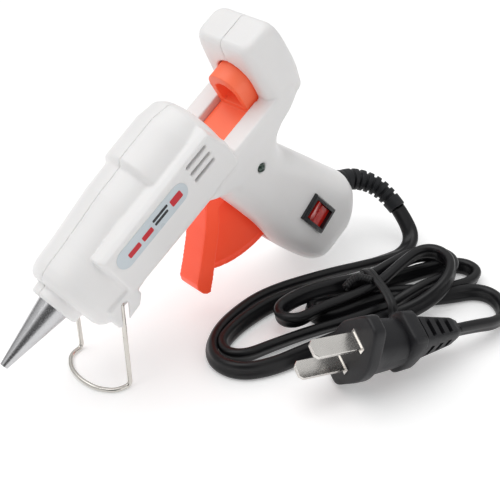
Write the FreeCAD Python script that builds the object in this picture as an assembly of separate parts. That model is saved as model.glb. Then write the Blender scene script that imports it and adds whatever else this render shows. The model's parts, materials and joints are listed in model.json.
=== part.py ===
import FreeCAD, Part
import math
import os

# Small hot-glue gun for 7 mm sticks, standing on its wire stand and its handle butt.
#
# Every piece of the gun is drawn in the barrel frame: x runs back from the nozzle tip along
# the glue stick's axis, y is lateral, z is up across the barrel.  The finished pieces are
# then tipped nose down by TILT and moved so that the gun stands on z = 0 with its box
# centred on the origin.  Row frame: X rearward, Y to the gun's right, Z up.  Millimetres.

os.makedirs("parts", exist_ok=True)
V = FreeCAD.Vector

# ---------------------------------------------------------------- driving dimensions
TILT = 32.06                     # nose-down angle of the barrel when the gun rests
WALL = 2.2                       # housing wall
RUNNING = 0.05                   # radial clearance of a pin that turns
GAP = 0.3                        # clearance between parts that pass each other

FLOOR_CORNER_R = 6.0             # the barrel's lower edges
CHIN_R = 4.2                     # and the same edges near its front
CHIN_REAR = 40.0

NOZZLE_LENGTH = 22.5
NOZZLE_TIP_R = 1.3
NOZZLE_BASE_R = 5.2
COLLAR_R = 8.3
BARREL_FRONT = 26.2
BARREL_REAR = 94.0

PANEL_FACE = 15.8                # half the width across the raised side panels
PANEL_LOW = -7.0                 # the lower edge of a panel's flat face

STICK_R = 3.5                    # the glue stick
CHAMBER_R = 7.0
CHAMBER_FRONT = 31.3
CHAMBER_REAR = 70.0
SPIGOT_R = 4.6
SPIGOT_REAR = 78.0
STICK_BORE_R = 3.75
SLEEVE_R = 5.7
SLEEVE_REAR = 90.0

SLOT_HALF = 7.4                  # half-width of the feed slot behind the barrel
RAIL_TOP = -3.7
PLATE_TOP = -6.2                 # the carriage's flat plate
PLATE_BOTTOM = -8.2
PLATE_HALF = 7.0
PLATE_FRONT = 88.0
LOOP_FRONT = 109.5
LOOP_REAR = 121.0
LOOP_R = 7.0

TRIGGER_PIVOT = (93.6, -21.8)
TRIGGER_TRAVEL = 25.0            # degrees of squeeze
TRIGGER_RIM_R = 36.4
STRIP_HALF = 4.7                 # half-width of the finger strip
WEB_HALF = 1.8
PIN_R = 1.5
DRIVE_ARM = 10.8                 # pivot to drive pin
SLOT_PLAY = 0.15                 # clearance of the drive pin in the carriage's slot

STAND_PIVOT = (36.1, -8.1)
STAND_HALF = 13.4                # half the distance between the stand's legs
LUG_FACE = 15.4                  # half the width across the lugs that hold the stand
LEG_ROOM = 1.3                   # from a leg's middle to the walls of its slot
SLOT_REACH = 9.0                 # how far from the pivot the slot goes
WIRE_R = 0.8

SWITCH_CENTRE = (108.0, -60.3)
SWITCH_LEAN = 11.7               # degrees between the switch's long side and z
LEVEL_STEP = 3.2                 # the most between two sections of the handle or the hump
SWITCH_SEAT = 14.0               # the handle's half-width at the switch
BEZEL = (15.6, 10.4, 1.4)        # length, width, height above the handle
ROCKER_TILT = 9.0
LED_CENTRE = (99.1, -18.9)
LED_R = 1.65

CORD_R = 2.1
BLADE = (17.0, 6.35, 1.5)        # length, width, thickness of a plug blade
BLADE_PITCH = 12.7


# ---------------------------------------------------------------- small helpers
def line(a, b):
    return Part.LineSegment(a, b).toShape()


def arc(a, middle, b):
    return Part.Arc(a, middle, b).toShape()


def box(x0, x1, y0, y1, z0, z1):
    return Part.makeBox(x1 - x0, y1 - y0, z1 - z0, V(x0, y0, z0))


def rod_x(x0, x1, r, y=0.0, z=0.0):
    return Part.makeCylinder(r, x1 - x0, V(x0, y, z), V(1, 0, 0))


def rod_y(x, z, r, y0, y1):
    return Part.makeCylinder(r, y1 - y0, V(x, y0, z), V(0, 1, 0))


def fuse(first, *others):
    return first.multiFuse(list(others)).removeSplitter()


def side_plate(points, y0, y1):
    """A plate between y0 and y1 whose side view is the closed polygon of (x, z) points."""
    corners = [V(x, y0, z) for x, z in points]
    outline = Part.makePolygon(corners + corners[:1])
    return Part.Face(outline).extrude(V(0, y1 - y0, 0))


def polar(centre, radius, degrees):
    """The (x, z) point at an angle from +x, turning towards +z."""
    turn = math.radians(degrees)
    return (centre[0] + radius * math.cos(turn), centre[1] + radius * math.sin(turn))


def swept(path_edges, radius, start, direction):
    """A round bar along tangent edges."""
    path = Part.Wire(path_edges)
    circle = Part.Wire(Part.makeCircle(radius, start, direction))
    return path.makePipeShell([circle], True, False)


def rounded_path(points, radii):
    """Straight runs through the points, joined by arcs of the given radii."""
    edges = []
    last = points[0]
    for i in range(1, len(points) - 1):
        corner = points[i]
        back = (points[i - 1] - corner).normalize()
        ahead = (points[i + 1] - corner).normalize()
        half_turn = (math.pi - back.getAngle(ahead)) / 2
        reach = radii[i - 1] * math.tan(half_turn)
        start = corner + back * reach
        end = corner + ahead * reach
        towards = (back + ahead).normalize()
        middle = corner + towards * (radii[i - 1] / math.cos(half_turn) - radii[i - 1])
        edges.append(line(last, start))
        edges.append(arc(start, middle, end))
        last = end
    edges.append(line(last, points[-1]))
    return edges


# ---------------------------------------------------------------- housing surfaces
# The barrel's stations: x, half-width, height of the top arc's centre, bottom.
BARREL_STATIONS = [
    (26.2, 10.6, -0.6, -9.6), (27.0, 12.2, -0.9, -10.8), (28.4, 13.3, -1.2, -11.6),
    (31.0, 14.0, -1.3, -12.4), (38.0, 14.3, -1.1, -12.4), (47.0, 14.7, -0.5, -12.2),
    (57.0, 15.0, 0.5, -12.0), (67.0, 15.1, 0.8, -12.0), (68.4, 15.1, 3.0, -12.0),
    (84.0, 15.1, 3.4, -12.0), (91.0, 14.8, 2.3, -12.0), (93.2, 13.6, 1.2, -12.0),
    (BARREL_REAR, 12.0, 0.2, -12.0)]

# The handle's levels: z, front x, back x, half-width.
HANDLE_LEVELS = [
    (RAIL_TOP, 80.0, 130.1, 14.4), (-5.2, 78.5, 130.3, 15.0), (-9.6, 77.5, 129.0, 15.0),
    (-11.2, 77.0, 125.6, 15.0), (-12.4, 77.0, 120.4, 14.9), (-14.6, 79.8, 116.2, 14.8),
    (-17.8, 83.2, 113.4, 14.6), (-24.0, 84.9, 111.4, 14.4), (-33.5, 86.8, 115.3, 14.2),
    (-45.7, 88.9, 120.6, 14.0), (-59.0, 90.0, 125.9, 14.0), (-68.0, 92.2, 129.3, 13.8),
    (-74.0, 94.0, 129.6, 13.4), (-80.0, 96.0, 127.4, 12.8), (-85.0, 98.0, 124.6, 11.4),
    (-88.9, 100.8, 121.8, 9.4), (-91.2, 104.2, 118.2, 6.4)]

# The hump's levels over the stick inlet.
HUMP_LEVELS = [
    (-9.0, 114.4, 129.2, 14.4), (-2.0, 114.6, 130.6, 14.2), (4.0, 115.0, 131.0, 13.7),
    (9.0, 115.3, 131.0, 13.3), (13.6, 115.7, 130.5, 12.8), (16.0, 116.1, 129.7, 12.2),
    (17.1, 116.7, 128.9, 11.4), (17.7, 117.8, 127.8, 10.2)]
HUMP_CORNER = 0.3                # plan corner radius of the hump, as a share of its half-width
HANDLE_CORNER = 0.62


def barrel_section(x, half, centre, bottom, inset):
    """An arch over a flat floor with rounded bottom corners."""
    w = half - inset
    floor = bottom + inset
    r = (CHIN_R if x < CHIN_REAR else FLOOR_CORNER_R) - min(inset, CHIN_R / 2)
    left = V(x, -w, centre)
    right = V(x, w, centre)
    c45 = r * (1 - math.sqrt(0.5))
    edges = [
        arc(left, V(x, 0, centre + w), right),
        line(right, V(x, w, floor + r)),
        arc(V(x, w, floor + r), V(x, w - c45, floor + c45), V(x, w - r, floor)),
        line(V(x, w - r, floor), V(x, r - w, floor)),
        arc(V(x, r - w, floor), V(x, c45 - w, floor + c45), V(x, -w, floor + r)),
        line(V(x, -w, floor + r), left)]
    return Part.Wire(edges)


def level_section(z, front, back, half, inset, corner):
    """A rounded rectangle at height z."""
    x0 = front + inset
    x1 = back - inset
    w = half - inset
    r = min(0.42 * (x1 - x0), corner * w)
    c45 = r * (1 - math.sqrt(0.5))
    edges = []
    ring = [(x0, -w, 1, 1), (x1, -w, -1, 1), (x1, w, -1, -1), (x0, w, 1, -1)]
    for i, (x, y, sx, sy) in enumerate(ring):
        first = V(x, y + sy * r, z)
        second = V(x + sx * r, y, z)
        if i % 2:
            first, second = second, first
        edges.append(arc(first, V(x + sx * c45, y + sy * c45, z), second))
        nx, ny, nsx, nsy = ring[(i + 1) % 4]
        ahead = V(nx + nsx * r, ny, z) if not i % 2 else V(nx, ny + nsy * r, z)
        edges.append(line(second, ahead))
    return Part.Wire(edges)


def barrel_solid(inset=0.0):
    stations = BARREL_STATIONS
    if inset:
        stations = [s for s in stations if BARREL_FRONT + inset < s[0] < BARREL_REAR - 1]
    sections = [barrel_section(*station, inset) for station in stations]
    return Part.makeLoft(sections, True, True)


def rates(heights, values):
    """The slope at each level: the harmonic mean of its neighbours', or none at a turn."""
    chords = [(values[i + 1] - values[i]) / (heights[i + 1] - heights[i])
              for i in range(len(heights) - 1)]
    inner = [2 * a * b / (a + b) if a * b > 0 else 0.0 for a, b in zip(chords, chords[1:])]
    return [chords[0]] + inner + [chords[-1]]


def softened(levels):
    """The levels with more of them between, on smooth curves that never overshoot."""
    heights = [level[0] for level in levels]
    columns = [[level[i] for level in levels] for i in (1, 2, 3)]
    slopes = [rates(heights, column) for column in columns]
    fine = [levels[0]]
    for i in range(len(levels) - 1):
        rise = heights[i + 1] - heights[i]
        steps = math.ceil(abs(rise) / LEVEL_STEP)
        for step in range(1, steps + 1):
            t = step / steps
            level = [heights[i] + rise * t]
            for column, slope in zip(columns, slopes):
                level.append((1 + 2 * t) * (1 - t) ** 2 * column[i]
                             + t * (1 - t) ** 2 * rise * slope[i]
                             + t * t * (3 - 2 * t) * column[i + 1]
                             - t * t * (1 - t) * rise * slope[i + 1])
            fine.append(level)
    return fine


def levels_solid(levels, inset=0.0):
    corner = HUMP_CORNER if levels[0] in HUMP_LEVELS else HANDLE_CORNER
    sections = [level_section(*level, inset, corner) for level in softened(levels)]
    return Part.makeLoft(sections, True, True)


def panel_solid(side):
    """The raised side panel: high on the left, with a sloping ledge, and low on the right."""
    drop = 0.0 if side < 0 else 7.4
    outline = [(40.6, 10.0 - drop), (89.6, 11.7 - drop), (92.8, 2.0), (93.2, -4.4),
               (92.4, PANEL_LOW + 0.6), (91.4, PANEL_LOW), (40.6, PANEL_LOW)]
    foot = [(39.6, 11.0 - drop), (90.4, 12.7 - drop), (94.0, 2.4), (94.6, -4.4),
            (93.6, PANEL_LOW - 1.0), (92.4, PANEL_LOW - 1.6), (39.6, PANEL_LOW - 1.6)]
    wires = []
    for y, points in ((10.0, foot), (13.6, foot), (PANEL_FACE, outline)):
        corners = [V(x, side * y, z) for x, z in points]
        wires.append(Part.makePolygon(corners + corners[:1]))
    return Part.makeLoft(wires, True, True)


def housing_solid():
    """The whole outside of the closed housing, with its cavity."""
    outer = fuse(barrel_solid(), levels_solid(HANDLE_LEVELS), levels_solid(HUMP_LEVELS),
                 panel_solid(-1), panel_solid(1))
    collar = rod_x(NOZZLE_LENGTH, BARREL_FRONT + 1, COLLAR_R)
    collar = collar.makeFillet(1.1, [e for e in collar.Edges if e.BoundBox.XMax < BARREL_FRONT])
    lugs = [side_plate([(31.6, -5.0), (42.4, -5.0), (42.4, -10.5), (39.6, -13.4),
                        (31.2, -14.2), (29.8, -12.6), (30.2, -8.4)], y0, y0 + 3.0)
            for y0 in (-LUG_FACE, LUG_FACE - 3.0)]
    cavity = fuse(barrel_solid(WALL), levels_solid(HANDLE_LEVELS[2:-1], WALL),
                  levels_solid(HUMP_LEVELS[:-1], WALL))
    return fuse(outer, collar, *lugs), cavity


def housing_ribs():
    """Inner walls that seat the chamber, the sleeve, the trigger pin and the screws."""
    seats = []
    for x0, seat_r in ((31.2, CHAMBER_R + 0.1), (65.0, CHAMBER_R + 0.1), (86.0, SLEEVE_R + 0.1)):
        wall = box(x0, x0 + 1.8, -16, 16, -13, 20).common(barrel_solid(1.0))
        lead_way = box(x0 - 1, x0 + 3, 5.4, 11.4, -13, -6.4)
        seats.append(wall.cut([rod_x(x0 - 1, x0 + 3, seat_r), lead_way]))
    bosses = []
    for x, z in SCREW_PLACES + [TRIGGER_PIVOT]:
        bosses.append(rod_y(x, z, 3.0, -SWITCH_SEAT, -5.6))
        bosses.append(rod_y(x, z, 3.0, 5.6, SWITCH_SEAT))
    shelf = box(-4.0, 6.0, -12, 12, 0, 1.8)
    shelf.rotate(V(0, 0, 0), V(0, 1, 0), TILT)
    top = spring_end()
    shelf.translate(V(top[0], 0, top[1]))
    return seats + bosses + [shelf]


# Screws join the halves under the barrel, in the handle's neck and above the butt.
SCREW_PLACES = [(83.0, -13.5), (106.6, -31.0), (97.6, -66.6), (110.5, -79.5)]
SCREW_SEAT = 9.6                 # y of the seat under each screw head

SPRING_FOOT = (101.6, -24.2)
SPRING_LENGTH = 11.0
SPRING_R = 2.3


def spring_end():
    turn = math.radians(TILT)
    return (SPRING_FOOT[0] + SPRING_LENGTH * math.sin(turn),
            SPRING_FOOT[1] + SPRING_LENGTH * math.cos(turn))


def switch_block(length, width, y0, y1):
    """A block in the switch's own axes, standing on the handle's side."""
    block = box(-width / 2, width / 2, y0, y1, -length / 2, length / 2)
    block.rotate(V(0, 0, 0), V(0, 1, 0), -SWITCH_LEAN)
    block.translate(V(SWITCH_CENTRE[0], 0, SWITCH_CENTRE[1]))
    return block


def housing_openings():
    """Everything that is cut through the closed housing."""
    nozzle_hole = rod_x(20, 33, NOZZLE_BASE_R + 0.3)
    slot = box(88.0, 116.5, -SLOT_HALF, SLOT_HALF, PLATE_BOTTOM - GAP, 30)
    slot = slot.cut(barrel_solid().cut(box(88.0, 96, -SLOT_HALF, SLOT_HALF,
                                           PLATE_BOTTOM - GAP, PLATE_TOP + GAP)))
    slot = slot.cut(levels_solid(HUMP_LEVELS).cut(loop_space()))
    plate_way = box(80.0, 96.0, -SLOT_HALF, SLOT_HALF, PLATE_BOTTOM - GAP, PLATE_TOP + GAP)
    sleeve_hole = rod_x(88, 97, SLEEVE_R + 0.15)
    floor_way = box(80, 128, -3.2, 3.2, -17.5, PLATE_BOTTOM + 1)
    arm_way = box(86.0, 103.0, -5.0, 5.0, -17.5, PLATE_BOTTOM + 1)
    trigger_way = box(74, 94, -STRIP_HALF - 0.4, STRIP_HALF + 0.4, -60.4, -13.2)
    inlet_hole = rod_x(126, 134, 4.9)
    switch_hole = switch_block(13.0, 8.8, -20, -10)
    led_hole = rod_y(LED_CENTRE[0], LED_CENTRE[1], LED_R + RUNNING, -20, -8)
    lead_room = box(80.0, 93.0, 7.0, 11.4, -11.0, -7.0)
    cuts = [lead_room, nozzle_hole, slot, loop_space(), plate_way, sleeve_hole, floor_way, arm_way,
            trigger_way, inlet_hole, switch_hole, led_hole, gland_socket()]
    for x, z in SCREW_PLACES:
        cuts.append(rod_y(x, z, 1.25, -10.5, 20))
        cuts.append(rod_y(x, z, 2.4, SCREW_SEAT, 20))
    cuts.append(rod_y(TRIGGER_PIVOT[0], TRIGGER_PIVOT[1], PIN_R, -12, 12))
    cuts.append(label_outline(0.0, 0.3))
    for y0 in (-20.0, 8.0):
        cuts.append(rod_y(STAND_PIVOT[0], STAND_PIVOT[1], WIRE_R + RUNNING, y0, y0 + 12))
    for side in (-1, 1):
        cuts.append(leg_space(side * STAND_HALF - LEG_ROOM, 2 * LEG_ROOM, 8.0))
        cuts.append(leg_space(side * (LUG_FACE - 0.5) - 1.5, 3.0, LEG_ROOM))
    for z in (2.9, 6.1, 9.3):
        for y0 in (-18.0, 11.5):
            vent = box(78.4, 86.8, y0, y0 + 6.5, z - 0.6, z + 0.6)
            cuts.append(fuse(vent, rod_y(78.4, z, 0.6, y0, y0 + 6.5),
                             rod_y(86.8, z, 0.6, y0, y0 + 6.5)))
    return cuts


def leg_space(y0, width, back):
    """Room for a leg in its lug, from the standing leg to so far behind it."""
    corner = stand_corner()
    lean = math.degrees(math.atan2(STAND_PIVOT[0] - corner.x, STAND_PIVOT[1] - corner.z))
    room = box(-LEG_ROOM, back, y0, y0 + width, -SLOT_REACH, LEG_ROOM)
    room.rotate(V(0, 0, 0), V(0, 1, 0), lean)
    room.translate(V(STAND_PIVOT[0], 0, STAND_PIVOT[1]))
    return room.common(rod_y(STAND_PIVOT[0], STAND_PIVOT[1], SLOT_REACH, -20, 20))


def loop_space():
    """The arched way for the loop into the hump."""
    r = LOOP_R + 0.6
    return fuse(rod_x(113, 125, r, 0, 1.9), box(113, 125, -r, r, PLATE_BOTTOM - GAP, 1.9))


GLAND_POINT = (127.8, -77.4)     # where the cord leaves the handle, level with the floor
GLAND_R = 3.6
COLLAR_SEAT_R = 5.9              # the sunk seat round the strain relief's root


def gland_socket():
    socket = fuse(rod_x(-6.0, 0.0, GLAND_R), rod_x(0.0, 6.0, COLLAR_SEAT_R))
    socket.rotate(V(0, 0, 0), V(0, 1, 0), TILT)
    socket.translate(V(GLAND_POINT[0], 0, GLAND_POINT[1]))
    return socket


def label_outline(inset, depth):
    """The long oval of the label on the left panel, sunk by depth."""
    r = 3.7 - inset
    y0 = -PANEL_FACE if inset else -PANEL_FACE - 1
    y1 = depth - PANEL_FACE
    x0, x1, z = 46.6, 71.2, 5.2
    return fuse(box(x0, x1, y0, y1, z - r, z + r), rod_y(x0, z, r, y0, y1),
                rod_y(x1, z, r, y0, y1))


def housing_halves():
    outer, cavity = housing_solid()
    shell = outer.cut(cavity)
    shell = shell.fuse([rib.common(outer) for rib in housing_ribs()])
    shell = shell.cut(housing_openings())
    left = shell.common(box(0, 160, -40, 0, -120, 60))
    right = shell.common(box(0, 160, 0, 40, -120, 60))
    return biggest(left), biggest(right)


def biggest(shape):
    return max(shape.Solids, key=lambda solid: solid.Volume)


# ---------------------------------------------------------------- melting group
def nozzle():
    cone = Part.makeCone(NOZZLE_TIP_R, NOZZLE_BASE_R, NOZZLE_LENGTH, V(0, 0, 0), V(1, 0, 0))
    shank = rod_x(NOZZLE_LENGTH, CHAMBER_FRONT + 8, 4.0)
    flange = rod_x(NOZZLE_LENGTH, CHAMBER_FRONT, NOZZLE_BASE_R)
    bore = Part.makeCone(0.7, 2.6, NOZZLE_LENGTH + 20, V(-1, 0, 0), V(1, 0, 0))
    return fuse(cone, shank, flange).cut(bore)


def melt_chamber():
    body = fuse(rod_x(CHAMBER_FRONT, CHAMBER_REAR, CHAMBER_R),
                rod_x(CHAMBER_REAR - 1, SPIGOT_REAR, SPIGOT_R),
                box(40, 62, -6, 6, -7.2, 0))
    thread = rod_x(CHAMBER_FRONT - 1, CHAMBER_FRONT + 8, 4.0)
    taper = Part.makeCone(2.5, STICK_BORE_R, 8.0, V(CHAMBER_FRONT + 8, 0, 0), V(1, 0, 0))
    bore = rod_x(CHAMBER_FRONT + 16, SPIGOT_REAR + 1, STICK_BORE_R)
    return body.cut([thread, taper, bore])


def heater_plate():
    return box(42, 60, -4.6, 4.6, -8.9, -7.25)


def heater_clip():
    outside = fuse(rod_x(45, 57, CHAMBER_R + 0.7), box(45, 57, -7.7, 7.7, -9.6, 0))
    inside = fuse(rod_x(44, 58, CHAMBER_R + 0.1), box(44, 58, -7.1, 7.1, -8.95, 0))
    gap = box(44, 58, -1.6, 1.6, 0, 20)
    return outside.cut([inside, gap])


def inlet_sleeve():
    return rod_x(CHAMBER_REAR + 0.5, SLEEVE_REAR, SLEEVE_R).cut([
        rod_x(CHAMBER_REAR, SPIGOT_REAR + 0.3, SPIGOT_R + RUNNING),
        rod_x(SPIGOT_REAR, SLEEVE_REAR + 1, STICK_BORE_R + 0.1)])


def sleeve_clip():
    return Part.makeTorus(SLEEVE_R + 0.65, 0.6, V(74.5, 0, 0), V(1, 0, 0))


# ---------------------------------------------------------------- feed group
def feed_carriage():
    plate = box(PLATE_FRONT, LOOP_REAR, -PLATE_HALF, PLATE_HALF, PLATE_BOTTOM, PLATE_TOP)
    arch = fuse(rod_x(LOOP_FRONT, LOOP_REAR, LOOP_R, 0, 1.9),
                box(LOOP_FRONT, LOOP_REAR, -LOOP_R, LOOP_R, PLATE_BOTTOM, 1.9))
    hole = fuse(rod_x(LOOP_FRONT - 1, LOOP_REAR + 1, 4.5, 0, 0.6),
                box(LOOP_FRONT - 1, LOOP_REAR + 1, -4.5, 4.5, -4.4, 0.6))
    rest_x, rest_z = drive_pin_place()
    lug = box(rest_x - 4.5, rest_x + 4.5, -2.2, 2.2, rest_z - 3.0, PLATE_BOTTOM + 0.5)
    slot_r = PIN_R + SLOT_PLAY
    pin_slot = fuse(rod_y(rest_x, rest_z + 0.4, slot_r, -3, 3),
                    box(rest_x - slot_r, rest_x + slot_r, -3, 3, rest_z - 4.0, rest_z + 0.4))
    grip_seat = box(112.6, 118.4, -2.6, 2.6, 4.2, 6.6)
    return fuse(plate, arch, lug).cut([hole, pin_slot, grip_seat])


def drive_pin_place():
    return polar(TRIGGER_PIVOT, DRIVE_ARM, 90 - TRIGGER_TRAVEL / 2)


def stick_grip():
    """A toothed steel blade in the loop's roof."""
    blade = box(112.8, 118.2, -2.4, 2.4, 4.9, 6.4)
    teeth = [side_plate([(x, 4.9), (x + 1.2, 4.9), (x + 1.2, 4.3)], -2.4, 2.4)
             for x in (113.2, 114.8, 116.4)]
    return fuse(blade, *teeth)


def stick_inlet():
    tube = rod_x(122.6, 132.6, 4.8)
    flange = rod_x(131.1, 132.6, 7.2)
    flange = flange.makeFillet(0.6, [e for e in flange.Edges if e.BoundBox.XMin > 132])
    return fuse(tube, flange).cut(rod_x(120, 134, STICK_R + 0.4))


def trigger():
    px, pz = TRIGGER_PIVOT
    strip = side_plate(
        [(80.6, -18.2), (79.0, -20.8), (73.8, -27.8), (68.6, -33.4), (63.2, -38.9),
         (58.8, -43.0), (58.0, -45.4), (58.4, -48.6), (59.4, -50.7), (61.0, -51.4),
         (65.7, -46.7), (71.0, -40.7), (76.3, -35.0), (81.0, -28.8), (83.6, -24.0)],
        -STRIP_HALF, STRIP_HALF)
    rim = [polar(TRIGGER_PIVOT, TRIGGER_RIM_R, a) for a in range(224, 277, 4)]
    web = side_plate([(px, pz), (80.6, -19.4), (64.4, -42.0)] + rim, -WEB_HALF, WEB_HALF)
    inner_rim = [polar(TRIGGER_PIVOT, TRIGGER_RIM_R - 1.8, a) for a in range(272, 223, -4)]
    rim_bead = side_plate(rim[:-1] + inner_rim, -WEB_HALF - 0.7, WEB_HALF + 0.7)
    hub = rod_y(px, pz, 4.2, -STRIP_HALF, STRIP_HALF)
    neck = side_plate([(80.6, -18.2), (px, pz + 3.0), (px, pz - 3.6), (82.6, -26.0)],
                      -STRIP_HALF, STRIP_HALF)
    dx, dz = drive_pin_place()
    arms = [fuse(rod_y(dx, dz, 2.6, y0, y0 + 2.1),
                 side_plate([(px - 3.0, pz), (px + 3.0, pz), (dx + 2.5, dz), (dx - 2.5, dz)],
                            y0, y0 + 2.1))
            for y0 in (-4.6, 2.5)]
    fx, fz = SPRING_FOOT
    seat = box(-3.4, 3.0, -3.0, 3.0, -1.8, 0)
    seat.rotate(V(0, 0, 0), V(0, 1, 0), TILT)
    seat.translate(V(fx, 0, fz))
    bracket = side_plate([(px, pz + 2.6), (px, pz - 3.6), (fx - 0.4, fz - 3.4), (fx - 1.2, fz - 0.6)],
                         -3.0, 3.0)
    body = fuse(strip, web, rim_bead, hub, neck, seat, bracket, *arms)
    return body.cut([rod_y(px, pz, PIN_R + RUNNING, -8, 8), rod_y(dx, dz, PIN_R, -8, 8)])


def trigger_pin():
    return rod_y(TRIGGER_PIVOT[0], TRIGGER_PIVOT[1], PIN_R, -12, 12)


def drive_pin():
    x, z = drive_pin_place()
    return rod_y(x, z, PIN_R, -4.6, 4.6)


def return_spring():
    """A compression spring between the trigger's seat and the housing shelf."""
    wire_r = 0.3
    height = SPRING_LENGTH - 2 * wire_r - 0.2
    helix = Part.makeHelix(height / 7, height, SPRING_R)
    start = V(SPRING_R, 0, 0)
    circle = Part.Wire(Part.makeCircle(wire_r, start, V(0, 1, 0)))
    spring = Part.Wire(helix).makePipeShell([circle], True, True)
    spring.translate(V(0, 0, wire_r + 0.1))
    spring.rotate(V(0, 0, 0), V(0, 1, 0), TILT)
    spring.translate(V(SPRING_FOOT[0], 0, SPRING_FOOT[1]))
    return spring


# ---------------------------------------------------------------- stand
# The corner where each leg turns into the foot, on the plane under the butt, and the foot's
# bow from one corner to the other: how far to the side, and how far forward of the corners.
STAND_FOOT_X = 18.6
STAND_BOW = [(12.4, 5.4), (7.0, 9.1), (0.0, 10.3), (-7.0, 9.1), (-12.4, 5.4)]
STAND_RADII = [1.3, 1.7, 6.0, 12.0, 20.0, 12.0, 6.0, 1.7, 1.3]


def stand_corner():
    """The stand's corner in the barrel frame, at y = 0."""
    turn = math.radians(TILT)
    return V(STAND_FOOT_X, 0,
             (butt_low() + WIRE_R - STAND_FOOT_X * math.sin(turn)) / math.cos(turn))


def butt_low():
    """How far the handle's butt reaches below the frame's origin once the gun is tipped."""
    tipped = stand_up(levels_solid(HANDLE_LEVELS[-4:]))
    return tipped.optimalBoundingBox(False, False).ZMin


def wire_stand():
    """One bent wire: pin ends in the lugs, two legs, and a bowed foot flat on the floor."""
    turn = math.radians(TILT)
    forward = V(-math.cos(turn), 0, math.sin(turn))
    corner = stand_corner()
    top = V(STAND_PIVOT[0], 0, STAND_PIVOT[1])
    side = V(0, STAND_HALF, 0)
    pin_end = V(0, 8.4, 0)
    bow = [corner + V(0, y, 0) + forward * reach for y, reach in STAND_BOW]
    points = [top + pin_end, top + side, corner + side, *bow, corner - side, top - side,
              top - pin_end]
    return swept(rounded_path(points, STAND_RADII), WIRE_R, points[0], V(0, 1, 0))


# ---------------------------------------------------------------- switch and lamp
def switch_body():
    length, width, height = BEZEL
    top = -SWITCH_SEAT - height
    bezel = switch_block(length, width, top, -SWITCH_SEAT)
    edges = [e for e in bezel.Edges if e.BoundBox.YMax < top + 0.01]
    bezel = bezel.makeChamfer(0.5, edges)
    case = switch_block(12.8, 8.6, -SWITCH_SEAT - 0.1, -3.2)
    well = switch_block(12.2, 7.4, top - 1, -9.0)
    axle = rocker_axle(1.05, 8.0)
    return fuse(bezel, case).cut([well, axle])


def rocker_axle(radius, length):
    axle = rod_x(-length / 2, length / 2, radius)
    axle.rotate(V(0, 0, 0), V(0, 1, 0), -SWITCH_LEAN)
    axle.translate(V(SWITCH_CENTRE[0], -SWITCH_SEAT + 1.5, SWITCH_CENTRE[1]))
    return axle


def switch_rocker():
    """A shallow V-shaped key on its axle, tilted to the off side."""
    outline = [(-5.6, -2.4), (0.0, -1.5), (5.6, -2.4), (5.3, 0.8), (1.6, 2.6), (-1.6, 2.6),
               (-5.3, 0.8)]
    corners = [V(-3.5, y, z) for z, y in outline]
    key = Part.Face(Part.makePolygon(corners + corners[:1])).extrude(V(7.0, 0, 0))
    key = fuse(key, rod_x(-3.95, 3.95, 1.0))
    key.rotate(V(0, 0, 0), V(1, 0, 0), ROCKER_TILT)
    key.rotate(V(0, 0, 0), V(0, 1, 0), -SWITCH_LEAN)
    key.translate(V(SWITCH_CENTRE[0], -SWITCH_SEAT + 1.5, SWITCH_CENTRE[1]))
    return key


def switch_terminals():
    tabs = [switch_block(2.8, 0.8, -3.2, 1.0)]
    tabs[0].translate(V(-0.2 * 4, 0, 0))
    second = tabs[0].copy()
    lean = math.radians(SWITCH_LEAN)
    second.translate(V(4.6 * math.sin(lean), 0, -4.6 * math.cos(lean)))
    return Part.makeCompound([tabs[0], second])


def indicator_lamp():
    x, z = LED_CENTRE
    barrel = rod_y(x, z, LED_R, -13.8, -9.0)
    dome = Part.makeSphere(LED_R, V(x, -13.8, z))
    return fuse(barrel, dome)


def housing_screws():
    screws = []
    for x, z in SCREW_PLACES:
        head = rod_y(x, z, 2.2, SCREW_SEAT, SCREW_SEAT + 1.6)
        head = head.makeFillet(0.5, [e for e in head.Edges if e.BoundBox.YMin > SCREW_SEAT + 1])
        cross = fuse(box(x - 1.2, x + 1.2, SCREW_SEAT + 0.8, SCREW_SEAT + 3, z - 0.3, z + 0.3),
                     box(x - 0.3, x + 0.3, SCREW_SEAT + 0.8, SCREW_SEAT + 3, z - 1.2, z + 1.2))
        screws.append(fuse(head, rod_y(x, z, 1.2, -9.8, SCREW_SEAT)).cut(cross))
    return Part.makeCompound(screws)


# Lead wires inside the housing, as points in the barrel frame.
LIVE_LEAD = [(121.8, 1.4, -73.9), (116.6, 3.4, -71.5), (112.4, 4.4, -66.6), (109.4, 4.6, -59.8)]
NEUTRAL_LEAD = [(121.8, -1.4, -73.9), (118.4, 7.4, -71.0), (112.6, 9.4, -58.4), (107.4, 9.6, -43.0),
                (101.4, 9.8, -29.6), (99.6, 10.2, -17.6), (92.4, 10.2, -11.8), (86.8, 10.2, -8.9),
                (78.0, 10.2, -8.6), (62.4, 9.9, -8.3), (57.6, 9.6, -8.1)]
HEATER_LEAD = [(105.8, 4.6, -59.0), (103.6, 6.4, -50.2), (100.6, 7.0, -36.0), (99.4, 7.2, -26.6),
               (97.6, 7.4, -16.6), (91.6, 8.2, -11.4), (86.4, 8.2, -9.0), (78.0, 8.2, -8.6),
               (66.4, 7.6, -8.3), (62.0, 7.2, -8.2)]
LEAD_R = 0.8


def lead(points):
    corners = [V(*point) for point in points]
    radii = largest_radii(corners)
    return swept(rounded_path(corners, radii), LEAD_R, corners[0], corners[1] - corners[0])


def largest_radii(corners):
    """For each inner corner, the radius that uses 0.45 of its shorter run."""
    radii = []
    for i in range(1, len(corners) - 1):
        back = corners[i - 1] - corners[i]
        ahead = corners[i + 1] - corners[i]
        half_turn = (math.pi - back.getAngle(ahead)) / 2
        radii.append(0.45 * min(back.Length, ahead.Length) / math.tan(half_turn))
    return radii


def lead_wires():
    return Part.makeCompound([lead(LIVE_LEAD), lead(NEUTRAL_LEAD), lead(HEATER_LEAD)])


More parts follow.
